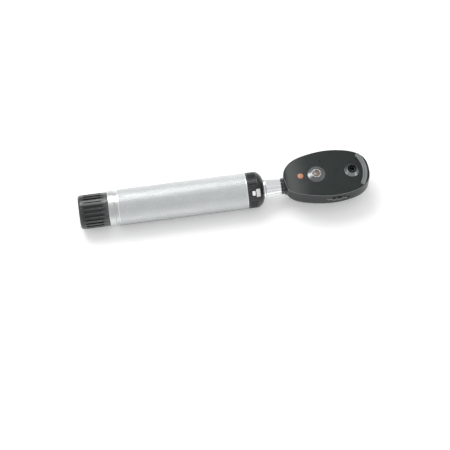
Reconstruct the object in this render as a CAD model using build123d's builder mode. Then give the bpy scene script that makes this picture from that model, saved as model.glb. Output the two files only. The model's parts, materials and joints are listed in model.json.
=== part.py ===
"""Direct ophthalmoscope: an examination head on a bayonet, on a battery handle with a rheostat.

Every piece is modelled in place. The instrument lies flat with the examiner's side up: +X runs
from the base cap to the head, +Z is up and the origin is the centre of its footprint.
Distances are measured from the base end, heights from the handle's axis, all in millimetres.
"""
import os
from math import cos, radians, sin

from build123d import *

os.makedirs("parts", exist_ok=True)

# Overall
total_length = 242.6
grip_radius = 15.0
axis_height = grip_radius

# Handle stations, measured from the base end
cap_end = 24.25
ring_start = 24.35
ring_end = 29.9
tube_start = 32.1
tube_end = 139.8
tube_bore = 13.5
cap_radius = 14.15
cap_rib_count = 24
cell_radius = 13.1
cell_length = 49.9
cell_start = 32.1

# Rheostat collar and its button
collar_start = 139.95
collar_end = 153.3
shoulder_size = 5.0
shoulder_curve = 9.0
grip_grooves = 46
journal_radius = 10.9
running_gap = 0.05
button_angle = 40.0
button_centre = 148.15
mark_centre = 144.5

# Bayonet and neck
socket_radius = 8.6
spigot_radius = 6.9
lamp_tube_radius = 5.5
flute_count = 15
neck_ring_start = 168.4
neck_ring_end = 173.0
neck_ring_radius = 7.7

# Head
head_start = 171.4
head_end = total_length
widest = 21.65
wall = 1.8
face_top = 13.2
sight_position = 228.2
bezel_seat = 11.85
bezel_radius = 6.3
display_position = 198.1
inlay_position = 184.8
inlay_radius = 2.5
head_outline = [
    (171.4, 0.0),
    (173.7, 10.8),
    (180.0, 15.6),
    (190.5, 19.1),
    (207.5, 21.65),
    (224.0, 20.15),
    (234.0, 16.7),
    (240.0, 11.3),
    (242.6, 0.0),
]
face_profile = [
    (169.5, 8.0),
    (172.5, 10.4),
    (176.0, 11.9),
    (183.0, 13.0),
    (190.0, 13.2),
    (200.0, 12.9),
    (214.0, 12.5),
    (228.0, 12.1),
    (244.0, 11.7),
]
front_sections = [
    (0.0, 171.9, 241.8, 20.4),
    (-7.0, 174.5, 239.6, 17.9),
    (-12.5, 181.0, 236.6, 13.8),
    (-15.0, 188.0, 234.5, 10.7),
]
front_cavity_sections = [
    (0.0, 173.7, 240.0, 18.6),
    (-7.0, 176.3, 237.8, 16.1),
    (-11.6, 181.6, 235.4, 12.6),
    (-13.2, 184.0, 234.0, 11.3),
]
screw_places = [(179.3, 10.0), (179.3, -10.0), (236.5, 8.0), (236.5, -8.0)]

# Lens wheel
wheel_centre = 212.0
wheel_radius = 22.75
scallop_radius = 2.4
scallop_depth = 0.6
wheel_low = 5.0
wheel_high = 7.4
wheel_positions = 28
lens_circle = 16.2
lens_radius = 1.3

# Aperture wheel
aperture_height = -5.5
aperture_radius = 9.0
aperture_start = 185.2
aperture_end = 187.2
aperture_circle = 5.5


def along(distance):
    """Frame X of a distance from the base end."""
    return distance - total_length / 2


side_plane = Plane(origin=(along(0), 0, axis_height), x_dir=(1, 0, 0), z_dir=(0, -1, 0))
main_axis = Axis((0, 0, axis_height), (1, 0, 0))


def level_plane(height):
    """Horizontal plane: x is the distance from the base end, y is sideways."""
    return Plane(origin=(along(0), 0, axis_height + height), x_dir=(1, 0, 0), z_dir=(0, 0, 1))


def cross_plane(distance, height=0.0):
    """Plane across the handle, centred at a height above its axis."""
    centre = (along(distance), 0, axis_height + height)
    return Plane(origin=centre, x_dir=(0, 1, 0), z_dir=(1, 0, 0))


def radial_plane(angle):
    """Plane through the handle's axis, turned from the top by an angle."""
    turn = radians(angle)
    return Plane(
        origin=(along(0), 0, axis_height), x_dir=(1, 0, 0), z_dir=(0, -cos(turn), -sin(turn))
    )


def tangent_plane(angle, radius):
    """Plane facing outwards at a radius from the handle's axis."""
    turn = radians(angle)
    centre = (along(0), -radius * sin(turn), axis_height + radius * cos(turn))
    return Plane(origin=centre, x_dir=(1, 0, 0), z_dir=(0, -sin(turn), cos(turn)))


def turned(points, height=0.0):
    """Turned piece along X from (distance, radius) points."""
    start = Plane(origin=(along(0), 0, axis_height + height), x_dir=(1, 0, 0), z_dir=(0, -1, 0))
    with BuildPart() as shape:
        with BuildSketch(start):
            with BuildLine():
                Polyline(*points, close=True)
            make_face()
        revolve(axis=Axis((0, 0, axis_height + height), (1, 0, 0)))
    return shape


def upright(centre, points):
    """Turned piece about a vertical axis from (radius, height) points."""
    start = Plane(origin=(along(centre), 0, axis_height), x_dir=(1, 0, 0), z_dir=(0, -1, 0))
    with BuildPart() as shape:
        with BuildSketch(start):
            with BuildLine():
                Polyline(*points, close=True)
            make_face()
        revolve(axis=Axis((along(centre), 0, 0), (0, 0, 1)))
    return shape


def ring_sector(start, end, inner, outer, angle, arc):
    """Part of a ring about the handle's axis."""
    with BuildPart() as shape:
        with BuildSketch(radial_plane(angle)):
            with Locations(((start + end) / 2, (inner + outer) / 2)):
                Rectangle(end - start, outer - inner)
        revolve(axis=main_axis, revolution_arc=arc)
    return shape


def dome_lens(start, edge, radius, rise):
    """Lens with a flat back and a spherical front that rises past its edge."""
    curve = (radius ** 2 + rise ** 2) / (2 * rise)
    with BuildPart() as shape:
        with BuildSketch(side_plane):
            with BuildLine():
                Polyline((edge, radius), (start, radius), (start, 0.0), (edge + rise, 0.0))
                RadiusArc((edge, radius), (edge + rise, 0.0), curve)
            make_face()
        revolve(axis=main_axis)
    return shape


def coil(start, length, radius, turns, wire):
    """Compression spring along X."""
    centre = (along(start), 0, axis_height)
    with BuildPart() as shape:
        with BuildLine() as path:
            Helix(length / turns, length, radius, center=centre, direction=(1, 0, 0))
        with BuildSketch(Plane(origin=path.line @ 0, z_dir=path.line % 0)):
            Circle(wire)
        sweep(path=path.line)
    return shape


def egg(start, end, half_width):
    """Head outline fitted between two distances and a half width."""
    stretch = (end - start) / (head_end - head_start)
    one_side = [
        (start + (distance - head_start) * stretch, half * half_width / widest)
        for distance, half in head_outline
    ]
    other_side = [(distance, -half) for distance, half in reversed(one_side[1:-1])]
    return one_side + other_side


def upper_block(inset):
    """Solid of the head above the split, with its domed face."""
    with BuildPart() as block:
        with BuildSketch(level_plane(0)):
            with BuildLine():
                Spline(*egg(head_start + inset, head_end - inset, widest - inset), periodic=True)
            make_face()
        extrude(amount=face_top + 2)
        with BuildSketch(side_plane):
            with BuildLine() as profile:
                Spline(*[(distance, height - inset) for distance, height in face_profile])
                Polyline(profile.line @ 1, (244.0, -1.0), (169.5, -1.0), profile.line @ 0)
            make_face()
        extrude(amount=widest + 5, both=True, mode=Mode.INTERSECT)
    return block


def lower_block(sections):
    """Solid of the head below the split, narrowing towards the patient's side."""
    with BuildPart() as block:
        for height, start, end, half_width in sections:
            with BuildSketch(level_plane(height)):
                with BuildLine():
                    Spline(*egg(start, end, half_width), periodic=True)
                make_face()
        loft()
    return block


# Handle tube: plain satin barrel, open at both ends
handle_tube = turned([
    (tube_start, 14.25),
    (tube_start, 14.7),
    (tube_start + 0.3, grip_radius),
    (tube_end - 0.3, grip_radius),
    (tube_end, 14.7),
    (tube_end, tube_bore),
    (37.0, tube_bore),
    (37.0, 14.25),
])
handle_tube.part.label = "handle_tube"
export_step(handle_tube.part, "parts/handle_tube.step")

# Lower ring: polished band with a spigot in the tube
lower_ring = turned([
    (ring_start, tube_bore),
    (ring_start, 14.6),
    (ring_start + 0.4, grip_radius),
    (ring_end - 0.4, grip_radius),
    (ring_end, 14.6),
    (ring_end, 14.2),
    (tube_start, 14.2),
    (tube_start, 14.25),
    (37.0, 14.25),
    (37.0, tube_bore),
])
lower_ring.part.label = "lower_ring"
export_step(lower_ring.part, "parts/lower_ring.step")

# Base cap: ribbed screw cap with a plain spigot and a seal groove
cap_blank = turned([
    (0.0, 0.0),
    (0.0, 12.6),
    (0.3, 13.2),
    (1.2, 13.95),
    (2.0, cap_radius),
    (cap_end - 0.3, cap_radius),
    (cap_end, cap_radius - 0.3),
    (cap_end, tube_bore - running_gap),
    (27.4, tube_bore - running_gap),
    (27.4, 12.7),
    (28.5, 12.7),
    (28.5, tube_bore - running_gap),
    (30.7, tube_bore - running_gap),
    (31.0, 13.1),
    (31.0, 11.8),
    (2.6, 11.8),
    (2.6, 0.0),
])
with BuildPart() as base_cap:
    add(cap_blank.part)
    with BuildSketch(cross_plane(4.7)):
        with PolarLocations(cap_radius + 0.35, cap_rib_count):
            Rectangle(2.1, 1.75)
    extrude(amount=14.5, mode=Mode.SUBTRACT)
base_cap.part.label = "base_cap"
export_step(base_cap.part, "parts/base_cap.step")

# Seal: rubber ring in the cap's spigot groove
cap_seal = turned([
    (27.5, 12.7),
    (27.5, 13.2),
    (27.75, 13.42),
    (28.15, 13.42),
    (28.4, 13.2),
    (28.4, 12.7),
])
cap_seal.part.label = "cap_seal"
export_step(cap_seal.part, "parts/cap_seal.step")

# Contact disc and spring carried in the cap
cap_contact = turned([(2.6, 0.0), (2.6, 11.0), (3.4, 11.0), (3.4, 2.4), (4.2, 2.0), (4.2, 0.0)])
cap_contact.part.label = "cap_contact"
export_step(cap_contact.part, "parts/cap_contact.step")

cap_spring = coil(4.15, 27.2, 7.0, 6, 0.7)
cap_spring.part.label = "cap_spring"
export_step(cap_spring.part, "parts/cap_spring.step")


def cell(start):
    """Standard C cell with its raised contact."""
    return turned([
        (start, 0.0),
        (start, 12.5),
        (start + 0.5, cell_radius),
        (start + 47.4, cell_radius),
        (start + 48.0, 12.5),
        (start + 48.0, 3.3),
        (start + cell_length, 3.1),
        (start + cell_length, 0.0),
    ])


# Two cells, end to end
battery_lower = cell(cell_start)
battery_lower.part.label = "battery_lower"
export_step(battery_lower.part, "parts/battery_lower.step")

battery_upper = cell(cell_start + 50.0)
battery_upper.part.label = "battery_upper"
export_step(battery_upper.part, "parts/battery_upper.step")

# Contact plate between the cells and the rheostat
contact_plate = turned([(132.1, 0.0), (132.1, 13.4), (133.2, 13.4), (133.2, 0.0)])
contact_plate.part.label = "contact_plate"
export_step(contact_plate.part, "parts/contact_plate.step")

# Rheostat core: closes the tube, carries the collar and the socket
rheostat_core = turned([
    (133.3, 2.7),
    (133.3, tube_bore),
    (tube_end, tube_bore),
    (tube_end, 13.3),
    (139.5, 13.3),
    (139.5, 11.3),
    (tube_end, 11.3),
    (tube_end, journal_radius),
    (151.6, journal_radius),
    (151.6, socket_radius),
    (140.2, socket_radius),
    (140.2, 1.7),
    (139.2, 1.7),
    (139.2, 2.7),
])
rheostat_core.part.label = "rheostat_core"
export_step(rheostat_core.part, "parts/rheostat_core.step")

# Resistance track set in the core's face, open over a quarter turn
rheostat_track = ring_sector(139.5, 139.8, 11.3, 13.3, 0.0, 270.0)
rheostat_track.part.label = "rheostat_track"
export_step(rheostat_track.part, "parts/rheostat_track.step")

# Collar: turned shell with pockets for the mark, the button and the wiper, and shallow grip grooves
with BuildPart() as collar_blank:
    with BuildSketch(side_plane):
        with BuildLine():
            Polyline(
                (collar_end, 10.0),
                (collar_end, 9.3),
                (151.8, 9.3),
                (151.8, journal_radius + running_gap),
                (collar_start, journal_radius + running_gap),
                (collar_start, 14.7),
                (collar_start + 0.3, grip_radius),
                (collar_end - shoulder_size, grip_radius),
            )
            RadiusArc((collar_end - shoulder_size, grip_radius), (collar_end, 10.0), shoulder_curve)
        make_face()
    revolve(axis=main_axis)
wiper_seat = ring_sector(collar_start - 1, 141.0, 11.8, 12.8, 100.0, 12.0)
with BuildPart() as rheostat_ring:
    add(collar_blank.part)
    with BuildSketch(tangent_plane(button_angle, 11.6)):
        with Locations((button_centre, 0)):
            RectangleRounded(3.7, 6.9, 0.7)
    extrude(amount=8, mode=Mode.SUBTRACT)
    with BuildSketch(tangent_plane(button_angle, 14.2)):
        with Locations((mark_centre, 0)):
            Rectangle(2.5, 3.7)
    extrude(amount=4, mode=Mode.SUBTRACT)
    add(wiper_seat.part, mode=Mode.SUBTRACT)
    for number in range(grip_grooves):
        groove_angle = button_angle + 30.0 + number * 300.0 / (grip_grooves - 1)
        with BuildSketch(tangent_plane(groove_angle, 14.75)):
            with Locations((144.2, 0)):
                SlotOverall(6.4, 0.8)
        extrude(amount=1, mode=Mode.SUBTRACT)
rheostat_ring.part.label = "rheostat_ring"
export_step(rheostat_ring.part, "parts/rheostat_ring.step")

# Wiper: sprung contact block carried round by the collar
rheostat_wiper = ring_sector(collar_start - 0.1, 141.0, 11.8, 12.8, 100.0, 12.0)
rheostat_wiper.part.label = "rheostat_wiper"
export_step(rheostat_wiper.part, "parts/rheostat_wiper.step")

# White index mark let into the collar
with BuildPart() as mark_limit:
    with BuildSketch(side_plane):
        with Locations((mark_centre, 7.6)):
            Rectangle(2.5, 15.2)
    revolve(axis=main_axis)
with BuildPart() as index_mark:
    with BuildSketch(tangent_plane(button_angle, 14.2)):
        with Locations((mark_centre, 0)):
            Rectangle(2.5, 3.7)
    extrude(amount=3)
    add(mark_limit.part, mode=Mode.INTERSECT)
index_mark.part.label = "index_mark"
export_step(index_mark.part, "parts/index_mark.step")

# Lock button: follows the collar's shoulder, slightly proud
with BuildPart() as button_limit:
    with BuildSketch(side_plane):
        with BuildLine():
            Polyline((148.3, 15.4), (140.0, 15.4), (140.0, 0.0), (153.7, 0.0), (153.7, 10.0))
            RadiusArc((148.3, 15.4), (153.7, 10.0), shoulder_curve + 0.4)
        make_face()
    revolve(axis=main_axis)
with BuildPart() as lock_button:
    with BuildSketch(tangent_plane(button_angle, 12.9)):
        with Locations((button_centre, 0)):
            RectangleRounded(3.3, 6.5, 0.5)
    extrude(amount=5)
    add(button_limit.part, mode=Mode.INTERSECT)
lock_button.part.label = "lock_button"
export_step(lock_button.part, "parts/lock_button.step")

# Button spring: small coil under the button
button_out = tangent_plane(button_angle, 11.85)
button_origin = button_out.from_local_coords((button_centre, 0, 0))
with BuildPart() as button_spring:
    with BuildLine() as button_path:
        Helix(0.4, 0.8, 1.3, center=button_origin, direction=button_out.z_dir)
    with BuildSketch(Plane(origin=button_path.line @ 0, z_dir=button_path.line % 0)):
        Circle(0.12)
    sweep(path=button_path.line)
button_spring.part.label = "button_spring"
export_step(button_spring.part, "parts/button_spring.step")

# Bayonet socket: metal sleeve with two angled slots for the head's lugs
socket_blank = turned([(140.2, 7.0), (140.2, 8.6), (153.0, 8.6), (153.0, 7.0)])
with BuildPart() as bayonet_socket:
    add(socket_blank.part)
    for lug_angle in (90.0, 270.0):
        way_in = ring_sector(144.0, 153.5, 6.5, 7.95, lug_angle + 30.0, 20.0)
        way_round = ring_sector(144.0, 146.4, 6.5, 7.95, lug_angle - 10.0, 60.0)
        add(way_in.part, mode=Mode.SUBTRACT)
        add(way_round.part, mode=Mode.SUBTRACT)
bayonet_socket.part.label = "bayonet_socket"
export_step(bayonet_socket.part, "parts/bayonet_socket.step")

# Centre contact pin and its spring
contact_pin = turned([
    (136.6, 0.0),
    (136.6, 2.6),
    (137.6, 2.6),
    (137.6, 1.64),
    (141.4, 1.64),
    (141.8, 1.2),
    (141.8, 0.0),
])
contact_pin.part.label = "contact_pin"
export_step(contact_pin.part, "parts/contact_pin.step")

pin_spring = coil(133.55, 2.7, 2.0, 4, 0.25)
pin_spring.part.label = "pin_spring"
export_step(pin_spring.part, "parts/pin_spring.step")

# Bayonet spigot: tube of the head with two lugs
spigot_blank = turned([
    (142.0, 4.7),
    (142.0, spigot_radius),
    (153.6, spigot_radius),
    (153.6, lamp_tube_radius),
    (176.0, lamp_tube_radius),
    (176.0, 4.7),
])
with BuildPart() as bayonet_spigot:
    add(spigot_blank.part)
    for lug_angle in (90.0, 270.0):
        lug = ring_sector(144.2, 146.2, 6.0, 7.8, lug_angle - 8.0, 16.0)
        add(lug.part)
bayonet_spigot.part.label = "bayonet_spigot"
export_step(bayonet_spigot.part, "parts/bayonet_spigot.step")

# Contact of the head in its insulator
head_insulator = turned([(142.1, 1.5), (142.1, 4.7), (146.5, 4.7), (146.5, 1.5)])
head_insulator.part.label = "head_insulator"
export_step(head_insulator.part, "parts/head_insulator.step")

head_contact = turned([(141.9, 0.0), (141.9, 1.5), (147.5, 1.5), (147.5, 0.8), (160.0, 0.8), (160.0, 0.0)])
head_contact.part.label = "head_contact"
export_step(head_contact.part, "parts/head_contact.step")

# Stop ring between the collar and the fluted sleeve
stop_ring = turned([
    (153.6, lamp_tube_radius),
    (153.6, 8.4),
    (153.8, 8.6),
    (155.0, 8.6),
    (155.2, 8.4),
    (155.2, lamp_tube_radius),
])
stop_ring.part.label = "stop_ring"
export_step(stop_ring.part, "parts/stop_ring.step")

# Fluted sleeve: tapered bright grip for turning the head on its bayonet
sleeve_blank = turned([
    (155.6, lamp_tube_radius),
    (155.6, 8.1),
    (155.9, 8.45),
    (168.1, 7.02),
    (neck_ring_start, 6.8),
    (neck_ring_start, lamp_tube_radius),
])
with BuildPart() as flute:
    with BuildSketch(Plane(origin=(along(154.2), 0, axis_height + 9.2), z_dir=(15.2, 0, -1.78))):
        Circle(0.9)
    extrude(amount=17)
with BuildPart() as fluted_sleeve:
    add(sleeve_blank.part)
    for number in range(flute_count):
        add(flute.part.rotate(main_axis, number * 360.0 / flute_count), mode=Mode.SUBTRACT)
fluted_sleeve.part.label = "fluted_sleeve"
export_step(fluted_sleeve.part, "parts/fluted_sleeve.step")

# Neck ring: black collar with four rounded lobes where the head meets the sleeve
neck_core = turned([(160.0, 0.0), (160.0, lamp_tube_radius), (180.0, lamp_tube_radius), (180.0, 0.0)])
neck_blank = turned([
    (neck_ring_start, lamp_tube_radius),
    (neck_ring_start, 6.3),
    (neck_ring_start + 0.4, 6.7),
    (171.6, 6.7),
    (171.6, neck_ring_radius),
    (neck_ring_end, neck_ring_radius),
    (neck_ring_end, lamp_tube_radius),
])
with BuildPart() as lobe:
    with Locations((along(170.7), 0, axis_height + 5.6)):
        Sphere(2.15)
    add(neck_core.part, mode=Mode.SUBTRACT)
with BuildPart() as neck_ring:
    add(neck_blank.part)
    for quarter in range(4):
        add(lobe.part.rotate(main_axis, quarter * 90.0 - 27.0))
neck_ring.part.label = "neck_ring"
export_step(neck_ring.part, "parts/neck_ring.step")

# Lamp
lamp_base = turned([(160.0, 0.0), (160.0, 3.8), (160.6, 4.65), (169.0, 4.65), (169.0, 0.0)])
lamp_base.part.label = "lamp_base"
export_step(lamp_base.part, "parts/lamp_base.step")

with BuildPart() as lamp_bulb:
    with BuildSketch(side_plane):
        with BuildLine():
            Polyline((174.0, 3.5), (169.0, 3.5), (169.0, 2.9), (174.0, 2.9))
            RadiusArc((174.0, 3.5), (177.5, 0.0), 3.5)
            Line((177.5, 0.0), (176.9, 0.0))
            RadiusArc((174.0, 2.9), (176.9, 0.0), 2.9)
        make_face()
    revolve(axis=main_axis)
lamp_bulb.part.label = "lamp_bulb"
export_step(lamp_bulb.part, "parts/lamp_bulb.step")

# Lamp filament
with BuildPart() as lamp_filament:
    with BuildSketch(cross_plane(169.0)):
        with Locations((-1.0, 0), (1.0, 0)):
            Circle(0.2)
    extrude(amount=4.6)
    with BuildSketch(Plane(origin=(along(173.4), -1.2, axis_height), z_dir=(0, 1, 0))):
        Circle(0.3)
    extrude(amount=2.4)
lamp_filament.part.label = "lamp_filament"
export_step(lamp_filament.part, "parts/lamp_filament.step")

# Head housings
upper_outer = upper_block(0.0)
upper_cavity = upper_block(wall)
lower_outer = lower_block(front_sections)
lower_cavity = lower_block(front_cavity_sections)
neck_opening = turned([
    (165.0, 0.0),
    (165.0, neck_ring_radius),
    (neck_ring_end, neck_ring_radius),
    (neck_ring_end, lamp_tube_radius),
    (176.5, lamp_tube_radius),
    (176.5, 0.0),
])

# Rear housing: the examiner's side, with the face, the wheel slots and the bosses
with BuildPart() as rear_rounded:
    add(upper_outer.part)
    fillet(faces().sort_by(Axis.Z)[-1].outer_wire().edges(), radius=0.5)
with BuildPart() as rear_housing:
    add(rear_rounded.part)
    add(upper_cavity.part, mode=Mode.SUBTRACT)
    with BuildSketch(level_plane(0)):
        with Locations(*screw_places[:2]):
            Circle(2.2)
    extrude(amount=11.4)
    with BuildSketch(level_plane(0)):
        with Locations(*screw_places[2:]):
            Circle(2.2)
    extrude(amount=11.0)
    with BuildSketch(level_plane(wheel_high + 0.1)):
        with Locations((wheel_centre, 0)):
            Circle(3.2)
    extrude(amount=11.6 - wheel_high)
    with BuildSketch(level_plane(5.2)):
        with Locations((187.4, 7.0), (187.4, -7.0)):
            Rectangle(1.6, 2.0)
    extrude(amount=6.6)
    with BuildSketch(level_plane(0)):
        with Locations(*screw_places):
            Circle(0.9)
    extrude(amount=7.0, mode=Mode.SUBTRACT)
    with BuildSketch(level_plane(wheel_high)):
        with Locations((wheel_centre, 0)):
            Circle(1.5)
    extrude(amount=3.4, mode=Mode.SUBTRACT)
    with BuildSketch(level_plane(wheel_low - 0.3)):
        with Locations((wheel_centre, 0)):
            Circle(wheel_radius + 0.4)
            Circle(wheel_radius - 6.0, mode=Mode.SUBTRACT)
    extrude(amount=wheel_high - wheel_low + 0.6, mode=Mode.SUBTRACT)
    with BuildSketch(level_plane(8.0)):
        with Locations((sight_position, 0)):
            Circle(5.2)
        with Locations((display_position, 0)):
            Circle(7.4)
        with Locations((inlay_position, 0)):
            Circle(inlay_radius)
    extrude(amount=8.0, mode=Mode.SUBTRACT)
    with BuildSketch(level_plane(bezel_seat)):
        with Locations((sight_position, 0)):
            Circle(bezel_radius)
    extrude(amount=4.0, mode=Mode.SUBTRACT)
    with BuildSketch(level_plane(11.1)):
        with BuildLine() as recess_line:
            ThreePointArc((233.5, -10.3), (236.0, 0.0), (233.5, 10.3))
        SlotArc(recess_line.edges()[0], 1.7)
    extrude(amount=4.0, mode=Mode.SUBTRACT)
    add(neck_opening.part, mode=Mode.SUBTRACT)
rear_housing.part.label = "rear_housing"
export_step(rear_housing.part, "parts/rear_housing.step")

# Front housing: the patient's side, with ribs for the optics and the wheel slot
with BuildPart() as screw_bosses:
    with BuildSketch(level_plane(0)):
        with Locations(*screw_places):
            Circle(2.8)
    extrude(amount=-15.0)
    add(lower_outer.part, mode=Mode.INTERSECT)
tube_seat = turned([(188.0, 0.0), (188.0, 3.0), (200.5, 3.0), (200.5, 0.0)])
wheel_slot = turned(
    [(184.9, 0.0), (184.9, 9.35), (187.5, 9.35), (187.5, 0.0)], height=aperture_height
)
with BuildPart() as front_housing:
    add(lower_outer.part)
    add(lower_cavity.part, mode=Mode.SUBTRACT)
    add(screw_bosses.part)
    with BuildSketch(level_plane(-13.6)):
        with Locations((191.2, 0), (197.8, 0)):
            Rectangle(1.4, 11.0)
    extrude(amount=13.4)
    with BuildSketch(level_plane(-15.0)):
        with Locations(*screw_places):
            Circle(1.9)
    extrude(amount=11.8, mode=Mode.SUBTRACT)
    with BuildSketch(level_plane(-4.0)):
        with Locations(*screw_places):
            Circle(0.95)
    extrude(amount=5.0, mode=Mode.SUBTRACT)
    with BuildSketch(level_plane(-15.0)):
        with Locations((226.0, 0)):
            Rectangle(9.0, 9.0)
    extrude(amount=3.0, mode=Mode.SUBTRACT)
    with BuildSketch(level_plane(-15.0)):
        with Locations((226.0, 0)):
            Rectangle(11.4, 11.4)
    extrude(amount=0.7, mode=Mode.SUBTRACT)
    add(tube_seat.part, mode=Mode.SUBTRACT)
    add(wheel_slot.part, mode=Mode.SUBTRACT)
    add(neck_opening.part, mode=Mode.SUBTRACT)
front_housing.part.label = "front_housing"
export_step(front_housing.part, "parts/front_housing.step")

# Housing screws
with BuildPart() as housing_screws:
    with BuildSketch(level_plane(-4.6)):
        with Locations(*screw_places):
            Circle(1.7)
    extrude(amount=1.4)
    with BuildSketch(level_plane(-3.3)):
        with Locations(*screw_places):
            Circle(0.9)
    extrude(amount=9.0)
    with BuildSketch(level_plane(-4.6)):
        with Locations(*screw_places):
            Rectangle(2.2, 0.5)
            Rectangle(0.5, 2.2)
    extrude(amount=0.7, mode=Mode.SUBTRACT)
housing_screws.part.label = "housing_screws"
export_step(housing_screws.part, "parts/housing_screws.step")

# Brow rest: raised curved pad across the top of the face
with BuildPart() as brow_rest:
    with BuildSketch(level_plane(11.4)):
        with BuildLine() as brow_line:
            ThreePointArc((235.2, -13.0), (238.9, 0.0), (235.2, 13.0))
        SlotArc(brow_line.edges()[0], 3.8)
    extrude(amount=2.2)
    fillet(faces().sort_by(Axis.Z)[-1].outer_wire().edges(), radius=1.0)
    add(upper_outer.part, mode=Mode.SUBTRACT)
brow_rest.part.label = "brow_rest"
export_step(brow_rest.part, "parts/brow_rest.step")

# Sight hole: raised cone with a stepped crater and a cover glass
sight_bezel = upright(sight_position, [
    (2.0, 10.2),
    (5.2, 10.2),
    (5.2, bezel_seat),
    (bezel_radius, bezel_seat),
    (bezel_radius, 12.35),
    (5.9, 12.7),
    (4.4, 14.5),
    (4.0, 14.75),
    (3.7, 14.7),
    (3.4, 14.1),
    (2.9, 14.1),
    (2.6, 13.6),
    (2.0, 13.5),
])
sight_bezel.part.label = "sight_bezel"
export_step(sight_bezel.part, "parts/sight_bezel.step")

sight_glass = upright(sight_position, [(0.0, 10.4), (2.0, 10.4), (2.0, 10.9), (0.0, 10.9)])
sight_glass.part.label = "sight_glass"
export_step(sight_glass.part, "parts/sight_glass.step")

# Lens power display: raised cone round a barrel that holds the magnifying window
display_bezel = upright(display_position, [
    (3.9, 10.2),
    (5.4, 10.2),
    (7.4, 11.6),
    (7.4, 12.95),
    (7.1, 13.1),
    (4.5, 14.3),
    (3.9, 14.5),
])
display_bezel.part.label = "display_bezel"
export_step(display_bezel.part, "parts/display_bezel.step")

display_ring = upright(display_position, [
    (2.7, 10.2),
    (3.9, 10.2),
    (3.9, 14.75),
    (3.75, 14.9),
    (3.2, 14.9),
    (2.7, 14.4),
])
display_ring.part.label = "display_ring"
export_step(display_ring.part, "parts/display_ring.step")

display_window = upright(display_position, [(0.0, 12.9), (2.7, 12.9), (2.7, 13.7), (1.6, 13.95), (0.0, 14.05)])
display_window.part.label = "display_window"
export_step(display_window.part, "parts/display_window.step")

# Round inlay on the face below the display
badge_dot = upright(inlay_position, [
    (0.0, 11.4),
    (inlay_radius, 11.4),
    (inlay_radius, 13.1),
    (inlay_radius - 0.2, 13.25),
    (0.0, 13.3),
])
badge_dot.part.label = "badge_dot"
export_step(badge_dot.part, "parts/badge_dot.step")

# Lens wheel: scalloped disc with a ring of lens holes
with BuildPart() as lens_wheel:
    with BuildSketch(level_plane(wheel_low)):
        with Locations((wheel_centre, 0)):
            Circle(wheel_radius)
            with PolarLocations(wheel_radius + scallop_radius - scallop_depth, wheel_positions):
                Circle(scallop_radius, mode=Mode.SUBTRACT)
            with PolarLocations(lens_circle, wheel_positions):
                Circle(lens_radius, mode=Mode.SUBTRACT)
            Circle(1.5 + running_gap, mode=Mode.SUBTRACT)
    extrude(amount=wheel_high - wheel_low)
    with BuildSketch(level_plane(wheel_low)):
        with Locations((wheel_centre, 0)):
            Circle(11.5)
            Circle(3.6, mode=Mode.SUBTRACT)
    extrude(amount=0.7, mode=Mode.SUBTRACT)
lens_wheel.part.label = "lens_wheel"
export_step(lens_wheel.part, "parts/lens_wheel.step")

# Lenses: every hole but the plain one at the sight hole
with BuildPart() as wheel_lenses:
    with BuildSketch(level_plane(wheel_low + 0.6)):
        with Locations((wheel_centre, 0)):
            with PolarLocations(
                lens_circle,
                wheel_positions - 1,
                start_angle=360 / wheel_positions,
                angular_range=360 - 720 / wheel_positions,
                endpoint=True,
            ):
                Circle(lens_radius)
    extrude(amount=1.2)
wheel_lenses.part.label = "wheel_lenses"
export_step(wheel_lenses.part, "parts/wheel_lenses.step")

# Lens wheel axle with its retaining flange
wheel_axle = upright(wheel_centre, [
    (0.0, 4.0),
    (3.0, 4.0),
    (3.0, 4.9),
    (1.5, 4.9),
    (1.5, 10.6),
    (0.0, 10.6),
])
wheel_axle.part.label = "wheel_axle"
export_step(wheel_axle.part, "parts/wheel_axle.step")

# Detent: leaf spring whose rounded nose sits in a scallop of the wheel
nose_tip = wheel_centre - wheel_radius + scallop_depth - 0.1
with BuildPart() as detent_leaf:
    with BuildSketch(level_plane(5.3)):
        with Locations((188.32, 0)):
            Rectangle(0.24, 16.0)
        with Locations((nose_tip - 1.0, 0)):
            Circle(1.0)
    extrude(amount=1.8)
detent_leaf.part.label = "detent_leaf"
export_step(detent_leaf.part, "parts/detent_leaf.step")

# Optic frame: plate across the front housing for the condenser and the aperture wheel
with BuildPart() as frame_web:
    with BuildSketch(level_plane(-13.0)):
        with Locations((183.2, 0)):
            Rectangle(2.0, 18.0)
    extrude(amount=13.0)
    add(lower_cavity.part, mode=Mode.INTERSECT)
with BuildPart() as optic_frame:
    add(frame_web.part)
    with BuildSketch(level_plane(0)):
        with Locations((183.2, 0)):
            Rectangle(2.0, 12.0)
    extrude(amount=5.0)
    with BuildSketch(cross_plane(182.0)):
        Circle(3.9)
    extrude(amount=3.0, mode=Mode.SUBTRACT)
    with BuildSketch(cross_plane(182.0, aperture_height)):
        Circle(1.0)
    extrude(amount=3.0, mode=Mode.SUBTRACT)
optic_frame.part.label = "optic_frame"
export_step(optic_frame.part, "parts/optic_frame.step")

# Condenser lens
condenser_lens = dome_lens(182.6, 184.0, 3.9, 1.0)
condenser_lens.part.label = "condenser_lens"
export_step(condenser_lens.part, "parts/condenser_lens.step")

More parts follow.
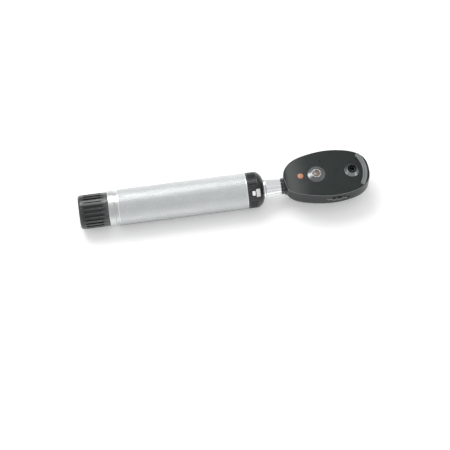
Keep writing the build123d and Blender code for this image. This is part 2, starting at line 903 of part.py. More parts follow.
# Aperture wheel with a serrated rim and five openings
with BuildPart() as aperture_wheel:
    with BuildSketch(cross_plane(aperture_start, aperture_height)):
        Circle(aperture_radius)
        with PolarLocations(aperture_radius + 0.3, 36):
            Circle(0.5, mode=Mode.SUBTRACT)
        Circle(1.0 + running_gap, mode=Mode.SUBTRACT)
        with PolarLocations(aperture_circle, 1, start_angle=90):
            Circle(2.2, mode=Mode.SUBTRACT)
        with PolarLocations(aperture_circle, 1, start_angle=162):
            Circle(1.1, mode=Mode.SUBTRACT)
        with PolarLocations(aperture_circle, 2, start_angle=234, angular_range=144):
            Circle(2.0, mode=Mode.SUBTRACT)
        with PolarLocations(aperture_circle, 1, start_angle=18):
            SlotCenterToCenter(1.8, 1.4, mode=Mode.SUBTRACT)
    extrude(amount=aperture_end - aperture_start)
aperture_wheel.part.label = "aperture_wheel"
export_step(aperture_wheel.part, "parts/aperture_wheel.step")

# Green filter and star target set in two of the openings
with BuildPart() as aperture_filters:
    with BuildSketch(cross_plane(aperture_start + 0.6, aperture_height)):
        with PolarLocations(aperture_circle, 2, start_angle=234, angular_range=144):
            Circle(2.0)
    extrude(amount=0.8)
aperture_filters.part.label = "aperture_filters"
export_step(aperture_filters.part, "parts/aperture_filters.step")

# Aperture axle: shouldered pin in the optic frame
aperture_axle = turned([
    (182.2, 0.0),
    (182.2, 1.0),
    (184.2, 1.0),
    (184.2, 2.0),
    (185.1, 2.0),
    (185.1, 1.0),
    (187.3, 1.0),
    (187.3, 2.0),
    (188.1, 2.0),
    (188.1, 0.0),
], height=aperture_height)
aperture_axle.part.label = "aperture_axle"
export_step(aperture_axle.part, "parts/aperture_axle.step")

# Objective tube and lens
objective_tube = turned([(189.4, 2.4), (189.4, 3.0), (200.0, 3.0), (200.0, 2.4)])
objective_tube.part.label = "objective_tube"
export_step(objective_tube.part, "parts/objective_tube.step")

objective_lens = dome_lens(198.2, 199.2, 2.4, 0.6)
objective_lens.part.label = "objective_lens"
export_step(objective_lens.part, "parts/objective_lens.step")

# Mirror at 45 degrees, turning the beam down to the patient
mirror_plane = Plane(origin=(along(223.5), 0, axis_height), x_dir=(0, 1, 0), z_dir=(1, 0, 1))
with BuildPart() as mirror:
    with BuildSketch(mirror_plane):
        Rectangle(5.8, 5.6)
    extrude(amount=0.7)
mirror.part.label = "mirror"
export_step(mirror.part, "parts/mirror.step")

# Mirror holder: wedge between two cheeks standing on the front housing
mirror_back = 0.7 * 2 ** 0.5
with BuildPart() as mirror_holder:
    with BuildSketch(side_plane):
        with BuildLine():
            Polyline(
                (220.9 + mirror_back, 2.6),
                (226.1, 2.6),
                (226.1, mirror_back - 2.6),
                close=True,
            )
        make_face()
    extrude(amount=5.4, both=True)
    with BuildSketch(level_plane(-13.2)):
        with Locations((223.6, 6.1), (223.6, -6.1)):
            Rectangle(5.0, 1.4)
    extrude(amount=15.8)
mirror_holder.part.label = "mirror_holder"
export_step(mirror_holder.part, "parts/mirror_holder.step")

# Front window and its frame
with BuildPart() as front_window:
    with BuildSketch(level_plane(-13.2)):
        with Locations((226.0, 0)):
            Rectangle(10.4, 10.4)
    extrude(amount=0.9)
front_window.part.label = "front_window"
export_step(front_window.part, "parts/front_window.step")

with BuildPart() as window_frame:
    with BuildSketch(level_plane(-15.0)):
        with Locations((226.0, 0)):
            Rectangle(11.4, 11.4)
            Rectangle(8.6, 8.6, mode=Mode.SUBTRACT)
    extrude(amount=0.7)
window_frame.part.label = "window_frame"
export_step(window_frame.part, "parts/window_frame.step")
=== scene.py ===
"""Looks for the direct ophthalmoscope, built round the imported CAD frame. Metres throughout."""

import json
import math

import bmesh
import bpy
from mathutils import Matrix, Vector


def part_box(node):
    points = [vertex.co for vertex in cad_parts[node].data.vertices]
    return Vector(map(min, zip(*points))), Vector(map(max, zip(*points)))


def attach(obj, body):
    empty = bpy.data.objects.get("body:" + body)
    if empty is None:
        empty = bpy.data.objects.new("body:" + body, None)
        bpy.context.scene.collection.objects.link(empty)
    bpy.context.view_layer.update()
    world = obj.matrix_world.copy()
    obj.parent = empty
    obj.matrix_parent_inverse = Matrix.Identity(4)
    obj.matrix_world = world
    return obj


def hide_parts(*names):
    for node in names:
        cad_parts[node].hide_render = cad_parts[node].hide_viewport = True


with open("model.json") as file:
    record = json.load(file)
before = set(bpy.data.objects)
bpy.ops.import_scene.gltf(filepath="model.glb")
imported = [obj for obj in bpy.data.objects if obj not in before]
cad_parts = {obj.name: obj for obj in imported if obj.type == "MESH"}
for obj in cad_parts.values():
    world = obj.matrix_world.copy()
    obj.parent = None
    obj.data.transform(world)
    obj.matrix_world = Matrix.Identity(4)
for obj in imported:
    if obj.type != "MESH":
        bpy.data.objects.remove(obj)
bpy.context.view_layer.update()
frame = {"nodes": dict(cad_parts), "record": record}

MM = 0.001

# How the brushing noise is stretched: rings round the long axis, or lines up the upright axis
ROUND_LENGTH = (12.0, 0.6, 0.6)
UPRIGHT = (1.0, 1.0, 0.08)

KNURL_DEPTH = 0.28 * MM


# ---------------------------------------------------------------- geometry helpers

def mesh_object(name, points, faces, smooth=True):
    """New mesh object from points and faces, with consistent outward normals."""
    mesh = bpy.data.meshes.new(name)
    mesh.from_pydata([tuple(point) for point in points], [], faces)
    shape = bmesh.new()
    shape.from_mesh(mesh)
    bmesh.ops.recalc_face_normals(shape, faces=shape.faces)
    shape.to_mesh(mesh)
    shape.free()
    for polygon in mesh.polygons:
        polygon.use_smooth = smooth
    thing = bpy.data.objects.new(name, mesh)
    bpy.context.scene.collection.objects.link(thing)
    return thing


def middle(node):
    """Centre of a CAD node's box."""
    low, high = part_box(node)
    return (low + high) / 2


def stitched(earlier, later):
    """Faces that join two closed rings of points, given as sequences of point numbers."""
    faces = []
    for i in range(len(earlier)):
        j = (i + 1) % len(earlier)
        faces.append((earlier[i], earlier[j], later[j], later[i]))
    return faces


def on_circle(centre, radius, angle, level):
    """Point on a level circle round an upright axis."""
    return Vector((centre.x + radius * math.cos(angle), centre.y + radius * math.sin(angle), level))


# ---------------------------------------------------------------- material helpers

class Finish:
    """A procedural material, built on one Principled shader in object coordinates."""

    def __init__(self, name, **settings):
        self.material = bpy.data.materials.new(name)
        self.material.use_nodes = True
        self.nodes = self.material.node_tree.nodes
        self.links = self.material.node_tree.links
        self.shader = self.nodes["Principled BSDF"]
        self.coordinates = self.nodes.new("ShaderNodeTexCoord").outputs
        self.place = self.coordinates["Object"]
        for socket, value in settings.items():
            self.shader.inputs[socket.replace("_", " ")].default_value = value

    def noise(self, scale, detail=3.0, stretch=None):
        """Noise over the piece, optionally stretched along an axis."""
        texture = self.nodes.new("ShaderNodeTexNoise")
        texture.inputs["Scale"].default_value = scale
        texture.inputs["Detail"].default_value = detail
        texture.inputs["Roughness"].default_value = 0.55
        self.links.new(self.mapped(stretch), texture.inputs["Vector"])
        return texture.outputs["Fac"]

    def mapped(self, stretch):
        """Object coordinates, scaled per axis."""
        if stretch is None:
            return self.place
        mapping = self.nodes.new("ShaderNodeMapping")
        mapping.inputs["Scale"].default_value = stretch
        self.links.new(self.place, mapping.inputs["Vector"])
        return mapping.outputs["Vector"]

    def spread(self, value, low, high, start=0.3, end=0.7):
        """Maps a value's useful range to a range of numbers."""
        node = self.nodes.new("ShaderNodeMapRange")
        self.links.new(value, node.inputs["Value"])
        for socket, number in zip(("From Min", "From Max", "To Min", "To Max"), (start, end, low, high)):
            node.inputs[socket].default_value = number
        return node.outputs["Result"]

    def math(self, kind, first, second):
        """Arithmetic on sockets or numbers."""
        node = self.nodes.new("ShaderNodeMath")
        node.operation = kind
        for socket, value in zip(node.inputs, (first, second)):
            if isinstance(value, (int, float)):
                socket.default_value = value
            else:
                self.links.new(value, socket)
        return node.outputs["Value"]

    def blend(self, factor, first, second):
        """Mixes two colours; each is a socket or an RGB triple."""
        node = self.nodes.new("ShaderNodeMix")
        node.data_type = "RGBA"
        self.links.new(factor, node.inputs["Factor"])
        for label, colour in (("A", first), ("B", second)):
            socket = [each for each in node.inputs if each.name == label and each.type == "RGBA"][0]
            if isinstance(colour, tuple):
                socket.default_value = (*colour, 1.0)
            else:
                self.links.new(colour, socket)
        return [each for each in node.outputs if each.type == "RGBA"][0]

    def edges(self, low, high):
        """One where the surface is more convex than the high mark, nought below the low one."""
        geometry = self.nodes.new("ShaderNodeNewGeometry")
        return self.spread(geometry.outputs["Pointiness"], 0.0, 1.0, low, high)

    def axes(self):
        """The three object coordinates as separate sockets."""
        node = self.nodes.new("ShaderNodeSeparateXYZ")
        self.links.new(self.place, node.inputs["Vector"])
        return node.outputs["X"], node.outputs["Y"], node.outputs["Z"]

    def facing_up(self):
        """How far the surface faces up the piece's own Z axis: one on a level top, nought on a wall."""
        node = self.nodes.new("ShaderNodeSeparateXYZ")
        self.links.new(self.coordinates["Normal"], node.inputs["Vector"])
        return node.outputs["Z"]

    def distance(self, sockets, centre):
        """Distance from an axis, given the two object coordinates across it and where it stands."""
        offsets = [self.math("SUBTRACT", socket, value) for socket, value in zip(sockets, centre)]
        squares = [self.math("POWER", offset, 2.0) for offset in offsets]
        return self.math("SQRT", self.math("ADD", *squares), 0.0)

    def colour(self, socket):
        self.links.new(socket, self.shader.inputs["Base Color"])

    def roughness(self, socket):
        self.links.new(socket, self.shader.inputs["Roughness"])

    def bump(self, height, depth, strength):
        """Bumps the surface by a depth in metres."""
        node = self.nodes.new("ShaderNodeBump")
        node.inputs["Distance"].default_value = depth
        node.inputs["Strength"].default_value = strength
        self.links.new(height, node.inputs["Height"])
        self.links.new(node.outputs["Normal"], self.shader.inputs["Normal"])


def plastic(name, dark, light, rough, grain_depth=0.012 * MM, edge_wear_and_glint=None, grain_scale=5200.0, **settings):
    """Moulded plastic: clouded colour, fine spark grain, paler edges that stand for wear on some pieces and
    are a painted highlight on others.
    """
    finish = Finish(name, **settings)
    clouds = finish.spread(finish.noise(85.0, 5.0), 0.0, 1.0)
    colour = finish.blend(clouds, dark, light)
    if edge_wear_and_glint is not None:
        # Paler convex edges: wear on some pieces, a painted highlight on the cap ribs and the lens wheel
        # teeth
        wear_and_glint_patches = finish.spread(finish.noise(420.0), 0.2, 1.0)
        edge = finish.math("MULTIPLY", finish.edges(0.52, 0.62), wear_and_glint_patches)
        colour = finish.blend(edge, colour, edge_wear_and_glint)
    finish.colour(colour)
    finish.roughness(finish.spread(finish.noise(240.0, 6.0), rough[0], rough[1]))
    finish.bump(finish.noise(grain_scale, 2.0), grain_depth, 0.5)
    return finish.material


def metal(name, dark, light, rough, brush=(1.0, 1.0, 1.0), brush_depth=0.004 * MM):
    """Metal: faint stains, brushed or turned lines along one direction, fine scratches."""
    finish = Finish(name, Metallic=1.0)
    stains = finish.spread(finish.noise(110.0, 6.0), 0.0, 1.0, 0.35, 0.7)
    finish.colour(finish.blend(stains, dark, light))
    lines = finish.noise(900.0, 3.0, stretch=brush)
    smears = finish.noise(190.0, 5.0)
    finish.roughness(finish.spread(finish.math("ADD", lines, smears), rough[0], rough[1], 0.7, 1.3))
    finish.bump(lines, brush_depth, 0.5)
    return finish.material


# ---------------------------------------------------------------- materials

def knurled_metal():
    """Satin chrome over a knurl, with painted shade in the grooves and towards the underside."""
    low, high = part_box("handle_tube")
    finish = Finish("knurled_chrome", Metallic=1.0)
    sideways, upwards = finish.axes()[1:]
    height = (low.z + high.z) / 2
    outside = (high.z - low.z) / 2
    radius = finish.distance((sideways, upwards), (0.0, height))
    depth = finish.spread(radius, 0.0, 1.0, outside - KNURL_DEPTH, outside - 0.02 * MM)
    stains = finish.spread(finish.noise(70.0, 5.0), 0.0, 1.0, 0.35, 0.7)
    crest = finish.blend(stains, (0.85, 0.87, 0.87), (0.9, 0.92, 0.92))
    # Painted shade: the colour darkens down in the knurl grooves
    groove_shaded = finish.blend(depth, (0.47, 0.49, 0.49), crest)
    # Painted shade: the colour darkens towards the underside of the tube
    underside_shade = finish.spread(upwards, 1.0, 0.0, height - 0.5 * outside, height + 0.4 * outside)
    finish.colour(finish.blend(underside_shade, groove_shaded, (0.2, 0.215, 0.215)))
    finish.roughness(finish.spread(finish.noise(600.0, 4.0), 0.36, 0.46))
    finish.bump(finish.noise(9000.0, 2.0), 0.006 * MM, 0.4)
    return finish.material


def battery_sleeve():
    """Printed shrink sleeve of the cells: dark, with a plain coloured band on each."""
    finish = Finish("battery_sleeve", Roughness=0.3)
    cell_length = 50 * MM
    along = finish.axes()[0]
    wave = finish.math("SINE", finish.math("MULTIPLY", along, 2 * math.pi / cell_length), 0.0)
    band = finish.spread(wave, 0.0, 1.0, 0.28, 0.3)
    print_noise = finish.spread(finish.noise(300.0, 4.0), 0.0, 1.0)
    body = finish.blend(print_noise, (0.025, 0.035, 0.05), (0.04, 0.055, 0.075))
    finish.colour(finish.blend(band, body, (0.5, 0.33, 0.08)))
    finish.roughness(finish.spread(finish.noise(500.0), 0.22, 0.38))
    return finish.material


def clear_glass(name, tint, rough=0.02, haze=0.0):
    """Coated glass with faint smears."""
    finish = Finish(name, Transmission_Weight=1.0 - haze, IOR=1.5, Coat_Weight=0.4, Coat_Roughness=0.03)
    smears = finish.noise(350.0, 5.0)
    finish.colour(finish.blend(finish.spread(smears, 0.0, 1.0), tint, tuple(0.94 * part for part in tint)))
    finish.roughness(finish.spread(smears, rough, rough + 0.05))
    return finish.material


def mirror_glass():
    """Silvered front-surface mirror."""
    return metal("silvered", (0.82, 0.84, 0.85), (0.88, 0.89, 0.9), (0.01, 0.04), brush_depth=0.0005 * MM)


def wheel_filters():
    """Green glass on one side of the aperture wheel, clear glass on the other."""
    finish = Finish("filter_glass", Transmission_Weight=0.85, IOR=1.5)
    centre = middle("aperture_wheel")
    sideways = finish.axes()[1]
    side = finish.spread(sideways, 0.0, 1.0, centre.y - 0.2 * MM, centre.y + 0.2 * MM)
    finish.colour(finish.blend(side, (0.04, 0.42, 0.12), (0.85, 0.87, 0.86)))
    finish.roughness(finish.spread(finish.noise(700.0), 0.02, 0.08))
    return finish.material


def sight_cone():
    """Satin metal cone that darkens inside the crater with painted shade."""
    centre = middle("sight_bezel")
    finish = Finish("sight_cone", Metallic=1.0)
    crater_radius = 4.1 * MM
    radius = finish.distance(finish.axes()[:2], (centre.x, centre.y))
    outside = finish.spread(radius, 0.0, 1.0, crater_radius - 0.2 * MM, crater_radius + 0.2 * MM)
    smears = finish.noise(260.0, 4.0)
    cone = finish.blend(finish.spread(smears, 0.0, 1.0), (0.22, 0.24, 0.245), (0.285, 0.305, 0.31))
    # Painted shade: inside the crater radius the colour goes near black
    finish.colour(finish.blend(outside, (0.02, 0.022, 0.024), cone))
    finish.roughness(finish.spread(smears, 0.2, 0.3))
    finish.bump(finish.noise(2600.0, 2.0, stretch=(1.0, 1.0, 0.2)), 0.004 * MM, 0.4)
    return finish.material


def fluted_chrome():
    """Bright chrome, with painted shade down in the flutes."""
    finish = Finish("bright_chrome", Metallic=1.0)
    smears = finish.noise(500.0, 3.0, stretch=ROUND_LENGTH)
    crest = finish.blend(finish.spread(smears, 0.0, 1.0), (0.88, 0.89, 0.9), (0.94, 0.95, 0.95))
    # Painted shade: concave places, the flutes, get a dark colour
    finish.colour(finish.blend(finish.edges(0.44, 0.5), (0.2, 0.21, 0.22), crest))
    finish.roughness(finish.spread(smears, 0.07, 0.15))
    finish.bump(smears, 0.003 * MM, 0.5)
    return finish.material


def head_plastic():
    """Satin black moulding whose rounded rim, between the face and the side wall, carries a paler painted
    highlight.
    """
    finish = Finish("head_plastic", Specular_IOR_Level=0.29)
    facing = finish.facing_up()
    past_wall = finish.spread(facing, 0.0, 1.0, 0.25, 0.4)
    before_face = finish.spread(facing, 1.0, 0.0, 0.66, 0.75)
    rim = finish.math("MULTIPLY", past_wall, before_face)
    # Painted highlight: a pale colour along the rounded rim
    painted_rim_highlight = finish.math("MULTIPLY", rim, finish.spread(finish.noise(420.0), 0.7, 1.0))
    clouds = finish.spread(finish.noise(85.0, 5.0), 0.0, 1.0)
    body = finish.blend(clouds, (0.0095, 0.0145, 0.0135), (0.0145, 0.0205, 0.0195))
    finish.colour(finish.blend(painted_rim_highlight, body, (0.4, 0.42, 0.415)))
    finish.roughness(finish.spread(finish.noise(240.0, 6.0), 0.27, 0.32))
    finish.bump(finish.noise(5200.0, 2.0), 0.008 * MM, 0.5)
    return finish.material


materials = {
    "knurled_metal": knurled_metal(),
    "polished_metal": metal(
        "polished_ring", (0.56, 0.59, 0.58), (0.66, 0.68, 0.67), (0.26, 0.38), ROUND_LENGTH
    ),
    "bright_chrome": fluted_chrome(),
    "black_plastic": plastic(
        "black_plastic", (0.014, 0.015, 0.0155), (0.022, 0.0235, 0.024), (0.16, 0.26),
        edge_wear_and_glint=(0.09, 0.093, 0.095),
    ),
    "head_plastic": head_plastic(),
    "gloss_black": plastic(
        "gloss_black", (0.008, 0.009, 0.01), (0.013, 0.014, 0.015), (0.1, 0.18),
        grain_depth=0.003 * MM, Coat_Weight=0.5,
    ),
    # The pale edge colour on the lens wheel is a painted highlight on its teeth
    "wheel_plastic": plastic(
        "wheel_plastic", (0.02, 0.02, 0.021), (0.03, 0.031, 0.032), (0.22, 0.32), edge_wear_and_glint=(0.12, 0.125, 0.125)
    ),
    "grey_pad": plastic(
        "grey_pad", (0.145, 0.16, 0.16), (0.19, 0.205, 0.205), (0.4, 0.52),
        grain_depth=0.03 * MM, grain_scale=3800.0, Sheen_Weight=0.15, Sheen_Roughness=0.5,
    ),
    "grey_button": plastic(
        "grey_button", (0.6, 0.61, 0.6), (0.68, 0.69, 0.68), (0.4, 0.5), edge_wear_and_glint=(0.75, 0.75, 0.74)
    ),
    "white_mark": plastic("white_mark", (0.84, 0.86, 0.85), (0.9, 0.91, 0.9), (0.42, 0.55)),
    "copper_inlay": metal("copper_inlay", (0.32, 0.155, 0.1), (0.4, 0.2, 0.13), (0.3, 0.42), UPRIGHT),
    "seal_rubber": plastic(
        "seal_rubber", (0.012, 0.012, 0.012), (0.022, 0.022, 0.022), (0.6, 0.75), grain_depth=0.02 * MM
    ),
    "contact_brass": metal(
        "contact_brass", (0.62, 0.42, 0.16), (0.76, 0.56, 0.25), (0.2, 0.36), ROUND_LENGTH
    ),
    "spring_steel": metal("spring_steel", (0.42, 0.43, 0.44), (0.55, 0.56, 0.57), (0.2, 0.34)),
    "socket_steel": metal("socket_steel", (0.46, 0.47, 0.48), (0.58, 0.59, 0.6), (0.2, 0.34), ROUND_LENGTH),
    "frame_metal": metal("frame_metal", (0.2, 0.2, 0.21), (0.3, 0.3, 0.31), (0.35, 0.5)),
    "battery_skin": battery_sleeve(),
    "clear_glass": clear_glass("coated_glass", (0.93, 0.96, 0.96)),
    "filter_glass": wheel_filters(),
    "mirror_glass": mirror_glass(),
    "dish_metal": metal("dish_metal", (0.15, 0.165, 0.17), (0.2, 0.215, 0.22), (0.16, 0.24), UPRIGHT),
}

# Pieces whose look differs from the others in their slot
own_materials = {
    "display_window": clear_glass("display_glass", (0.32, 0.25, 0.22), 0.12, haze=0.6),
    "sight_bezel": sight_cone(),
    "display_ring": metal("barrel_metal", (0.3, 0.275, 0.265), (0.4, 0.37, 0.36), (0.2, 0.3), UPRIGHT),
    "rheostat_ring": plastic(
        "collar_plastic", (0.01, 0.011, 0.0115), (0.016, 0.0175, 0.018), (0.16, 0.26),
        edge_wear_and_glint=(0.09, 0.093, 0.095), Specular_IOR_Level=0.36,
    ),
    # The pale edge colour on the cap is a painted highlight on its rib edges
    "base_cap": plastic(
        "cap_plastic", (0.01, 0.011, 0.0115), (0.016, 0.0175, 0.018), (0.12, 0.2),
        edge_wear_and_glint=(0.28, 0.288, 0.292),
    ),
}

slot_of = {entry["node"]: entry["material_slot"] for entry in frame["record"]["subparts"]}
for node, thing in frame["nodes"].items():
    thing.data.materials.clear()
    thing.data.materials.append(own_materials.get(node, materials[slot_of[node]]))


# ---------------------------------------------------------------- knurled tube

def knurled_tube():
    """Barrel with a real diamond knurl: blunt pyramids between two sets of crossing grooves."""
    low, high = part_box("handle_tube")
    outside = (high.z - low.z) / 2
    height = (high.z + low.z) / 2
    groove_radius = outside - KNURL_DEPTH
    plain_band = 0.9 * MM
    around = 63
    pitch = 1.5 * MM
    first = low.x + plain_band
    rows = 2 * round((high.x - low.x - 2 * plain_band) / pitch)
    row_length = (high.x - low.x - 2 * plain_band) / rows
    half_turn = math.pi / around
    flat_share = 0.42
    points = []
    faces = []
    corners = {}

    def put(x, angle, radius):
        points.append((x, -radius * math.sin(angle), height + radius * math.cos(angle)))
        return len(points) - 1

    def crossing(row, column):
        return corners[row, column % (2 * around)]

    for row in range(rows + 1):
        for column in range(2 * around):
            if (row + column) % 2:
                corners[row, column] = put(first + row * row_length, column * half_turn, groove_radius)
    edge_rows = {0: [], rows: []}
    for row in range(rows + 1):
        for column in range(2 * around):
            if (row + column) % 2:
                continue
            x = first + row * row_length
            angle = column * half_turn
            left = crossing(row, column - 1)
            right = crossing(row, column + 1)
            tips = []
            for along, round_by in ((-1, 0), (0, 1), (1, 0), (0, -1)):
                if not 0 <= row + along <= rows:
                    along = 0
                tips.append(put(
                    x + along * flat_share * row_length, angle + round_by * flat_share * half_turn, outside
                ))
            before = crossing(row - 1, column) if row > 0 else None
            after = crossing(row + 1, column) if row < rows else None
            back, over, front, under = tips
            if before is not None:
                faces.append((left, before, back, under))
                faces.append((before, right, over, back))
            if after is not None:
                faces.append((right, after, front, over))
                faces.append((after, left, under, front))
            if before is not None and after is not None:
                faces.append((back, over, front, under))
            elif before is None:
                faces.append((over, front, under))
                edge_rows[0] += [left, under, over]
            else:
                faces.append((back, over, under))
                edge_rows[rows] += [left, under, over]

    clearance = 0.1 * MM
    wall = 0.75 * MM
    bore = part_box("contact_plate")[1].z - middle("contact_plate").z + clearance
    spigot = bore + wall
    chamfer = 0.3 * MM
    groove_end = 0.12 * MM
    step_down = 0.02 * MM
    spigot_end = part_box("lower_ring")[1].x
    for edge, side, inner in ((0, low.x, spigot), (rows, high.x, bore)):
        rim = edge_rows[edge]
        direction = 1 if edge == 0 else -1
        band_start = first if edge == 0 else first + rows * row_length
        stations = [
            (band_start - direction * groove_end, outside - step_down),
            (side + direction * chamfer, outside),
            (side, outside - chamfer),
            (side, inner),
        ]
        angles = [math.atan2(-points[i][1], points[i][2] - height) for i in rim]
        earlier = rim
        for x, radius in stations:
            ring = [put(x, angle, radius) for angle in angles]
            faces += stitched(earlier, ring)
            earlier = ring
        edge_rows[edge] = earlier
    angles = [math.atan2(-points[i][1], points[i][2] - height) for i in edge_rows[0]]
    earlier = edge_rows[0]
    for x, radius in ((spigot_end, spigot), (spigot_end, bore)):
        ring = [put(x, angle, radius) for angle in angles]
        faces += stitched(earlier, ring)
        earlier = ring
    faces += stitched(earlier, edge_rows[rows])
    tube = mesh_object("knurled_tube", points, faces, smooth=False)
    tube.data.materials.append(materials["knurled_metal"])
    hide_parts("handle_tube")
    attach(tube, "handle")


knurled_tube()


# ---------------------------------------------------------------- brow rest

def brow_pad():
    """Soft curved pad, crowned across in two ridges, rounded at its ends."""
    low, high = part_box("brow_rest")
    half_width = 1.9 * MM
    half_span = 13.0 * MM
    bow = 3.7 * MM
    curve = (half_span ** 2 + bow ** 2) / (2 * bow)
    apex = high.x - half_width
    half_angle = math.asin(half_span / curve)
    reach = half_angle + half_width / curve
    foot = low.z - 0.5 * MM
    seat = low.z + 0.1 * MM
    crown = high.z - seat
    steps_along = 96
    least_share = 0.02
    profile = [
        (-1.0, 0.0), (-1.0, 0.35), (-0.95, 0.6), (-0.85, 0.78), (-0.7, 0.86), (-0.5, 0.86), (-0.34, 0.78),
        (-0.2, 0.62), (-0.08, 0.56), (0.06, 0.58), (0.2, 0.72), (0.36, 0.9), (0.52, 0.98), (0.68, 1.0),
        (0.82, 0.9), (0.92, 0.72), (0.98, 0.45), (1.0, 0.2), (1.0, 0.0),
    ]
    points = []

    def put(radius, angle, level):
        points.append((apex - curve + radius * math.cos(angle), radius * math.sin(angle), level))

    for step in range(steps_along + 1):
        share = math.sin(math.pi / 2 * (2 * step / steps_along - 1))
        angle = reach * share
        beyond = max(0.0, abs(angle) - half_angle) * curve / half_width
        round_off = max(math.sqrt(max(0.0, 1 - min(1.0, beyond) ** 2)), least_share)
        width = half_width * round_off
        rise = crown * round_off ** 0.6
        put(curve - width, angle, foot)
        for across, up in profile:
            put(curve + across * width, angle, seat + up * rise)
        put(curve + width, angle, foot)
    ring = len(profile) + 2
    faces = []
    for step in range(steps_along):
        start = step * ring
        faces += stitched(range(start, start + ring), range(start + ring, start + 2 * ring))
    faces.append(tuple(range(ring)))
    faces.append(tuple(range(steps_along * ring, (steps_along + 1) * ring)))
    pad = mesh_object("brow_pad", points, faces)
    pad.data.materials.append(materials["grey_pad"])
    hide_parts("brow_rest")
    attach(pad, "head")


brow_pad()


# ---------------------------------------------------------------- dial numbers on the lens wheel

def text_mesh(words, size):
    """Points and faces of flat text, centred on its middle."""
    curve = bpy.data.curves.new("words", "FONT")
    curve.body = words
    curve.size = size
    curve.align_x = "CENTER"
    curve.align_y = "CENTER"
    curve.extrude = 0.02 * MM
    curve.resolution_u = 4
    thing = bpy.data.objects.new("words", curve)
    bpy.context.scene.collection.objects.link(thing)
    bpy.context.view_layer.update()
    mesh = bpy.data.meshes.new_from_object(thing.evaluated_get(bpy.context.evaluated_depsgraph_get()))
    points = [vertex.co.copy() for vertex in mesh.vertices]
    faces = [tuple(polygon.vertices) for polygon in mesh.polygons]
    bpy.data.objects.remove(thing)
    bpy.data.curves.remove(curve)
    bpy.data.meshes.remove(mesh)
    return points, faces


def dial():
    """Pale printed ring on the lens wheel with the lens powers: plus dark, minus red."""
    centre = middle("lens_wheel")
    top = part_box("lens_wheel")[1].z
    powers = [0] + list(range(1, 11)) + [15, 20, 40] + [-35, -25, -20, -15] + list(range(-10, 0))
    inner, outer = 11.6 * MM, 14.75 * MM
    print_sunk, print_raised = 0.02 * MM, 0.03 * MM
    steps = 168
    points = []
    for level in (top - print_sunk, top + print_raised):
        for radius in (inner, outer):
            for step in range(steps):
                points.append(on_circle(centre, radius, 2 * math.pi * step / steps, level))
    faces = []
    rings = [range(start, start + steps) for start in range(0, 4 * steps, steps)]
    for first, second in ((0, 1), (1, 3), (3, 2), (2, 0)):
        faces += stitched(rings[first], rings[second])
    ring = mesh_object("dial_ring", points, faces, smooth=False)
    ring.data.materials.append(plastic("dial_print", (0.72, 0.68, 0.64), (0.8, 0.76, 0.72), (0.4, 0.5)))
    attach(ring, "lens_wheel")
    inks = {
        "plus": plastic("dark_ink", (0.01, 0.01, 0.012), (0.02, 0.02, 0.022), (0.35, 0.5)),
        "minus": plastic("red_ink", (0.42, 0.02, 0.015), (0.52, 0.03, 0.02), (0.35, 0.5)),
    }
    place = 13.2 * MM
    ink_thickness = 0.02 * MM
    letter_size = 2.1 * MM
    for kind, ink in inks.items():
        points = []
        faces = []
        for position, power in enumerate(powers):
            if (power < 0) != (kind == "minus"):
                continue
            letters, outlines = text_mesh(str(abs(power)), letter_size)
            angle = math.pi + 2 * math.pi * position / len(powers)
            turn = Matrix.Rotation(angle + math.pi / 2, 4, "Z")
            shift = on_circle(centre, place, angle, top + print_raised + ink_thickness)
            start = len(points)
            points += [shift + turn @ point for point in letters]
            faces += [tuple(start + index for index in outline) for outline in outlines]
        numbers = mesh_object("dial_" + kind, points, faces, smooth=False)
        numbers.data.materials.append(ink)
        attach(numbers, "lens_wheel")


dial()


# ---------------------------------------------------------------- floor, light, camera

def studio_floor():
    """Plain white sweep under the instrument."""
    half = 3.0
    corners = [(-half, -half, 0), (half, -half, 0), (half, half, 0), (-half, half, 0)]
    floor = mesh_object("studio_floor", corners, [(0, 1, 2, 3)])
    finish = Finish("floor_white", Roughness=0.7)
    clouds = finish.spread(finish.noise(3.0), 0.0, 1.0)
    finish.colour(finish.blend(clouds, (0.93, 0.93, 0.93), (0.95, 0.95, 0.95)))
    finish.shader.inputs["Emission Color"].default_value = (1.0, 1.0, 1.0, 1.0)
    finish.shader.inputs["Emission Strength"].default_value = 0.2
    floor.data.materials.append(finish.material)


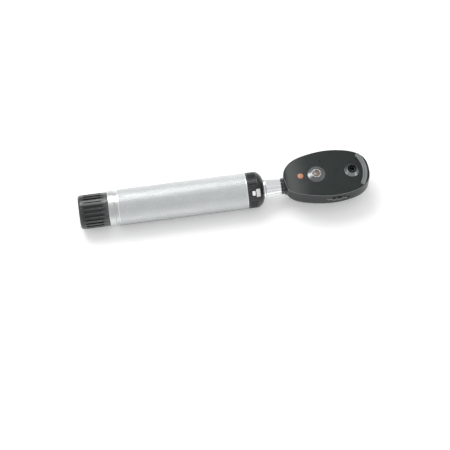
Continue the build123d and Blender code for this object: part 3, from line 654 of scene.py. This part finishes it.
def soft_light(name, place, target, width, depth, power):
    """Large soft box aimed at a point."""
    lamp = bpy.data.lights.new(name, "AREA")
    lamp.shape = "RECTANGLE"
    lamp.size = width
    lamp.size_y = depth
    lamp.energy = power
    holder = bpy.data.objects.new(name, lamp)
    holder.location = place
    holder.rotation_euler = (Vector(target) - Vector(place)).to_track_quat("-Z", "Y").to_euler()
    bpy.context.scene.collection.objects.link(holder)


def studio():
    """Pale surroundings, a little greyer behind the camera, and soft boxes for the broad highlights."""
    world = bpy.data.worlds.new("studio")
    bpy.context.scene.world = world
    world.use_nodes = True
    nodes = world.node_tree.nodes
    links = world.node_tree.links
    direction = nodes.new("ShaderNodeTexCoord").outputs["Generated"]
    facing = nodes.new("ShaderNodeVectorMath")
    facing.operation = "DOT_PRODUCT"
    grey_elevation = math.radians(58.0)
    facing.inputs[1].default_value = (0.0, -math.cos(grey_elevation), math.sin(grey_elevation))
    links.new(direction, facing.inputs[0])
    ramp = nodes.new("ShaderNodeValToRGB")
    pale, grey = ramp.color_ramp.elements
    pale.position = 0.62
    pale.color = (0.86, 0.86, 0.86, 1.0)
    grey.position = 0.93
    grey.color = (0.8, 0.8, 0.81, 1.0)
    links.new(facing.outputs["Value"], ramp.inputs["Fac"])
    links.new(ramp.outputs["Color"], nodes["Background"].inputs["Color"])
    nodes["Background"].inputs["Strength"].default_value = 0.85
    soft_light("key", (-0.22, 0.44, 0.72), (-0.05, 0, 0), 0.7, 0.5, 4.2)
    soft_light("left", (-1.3, -0.1, 0.7), (0, 0, 0), 0.5, 0.7, 1.6)
    soft_light("right", (1.0, -0.85, 0.5), (0.1, 0, 0), 0.35, 0.3, 1.6)
    bpy.context.scene.view_settings.view_transform = "Standard"


def camera():
    """Looks down at the instrument from the examiner's side, slightly turned."""
    target = Vector((-2.8 * MM, -21.3 * MM, 0.0))
    turn = math.radians(8.5)
    elevation = math.radians(62.0)
    distance = 1220 * MM
    level = math.cos(elevation)
    back = Vector((-math.sin(turn) * level, -math.cos(turn) * level, math.sin(elevation)))
    data = bpy.data.cameras.new("camera")
    data.lens = 117.0
    data.sensor_width = 36.0
    holder = bpy.data.objects.new("camera", data)
    holder.location = target + back * distance
    holder.rotation_euler = (-back).to_track_quat("-Z", "Y").to_euler()
    bpy.context.scene.collection.objects.link(holder)
    bpy.context.scene.camera = holder


studio_floor()
studio()
camera()
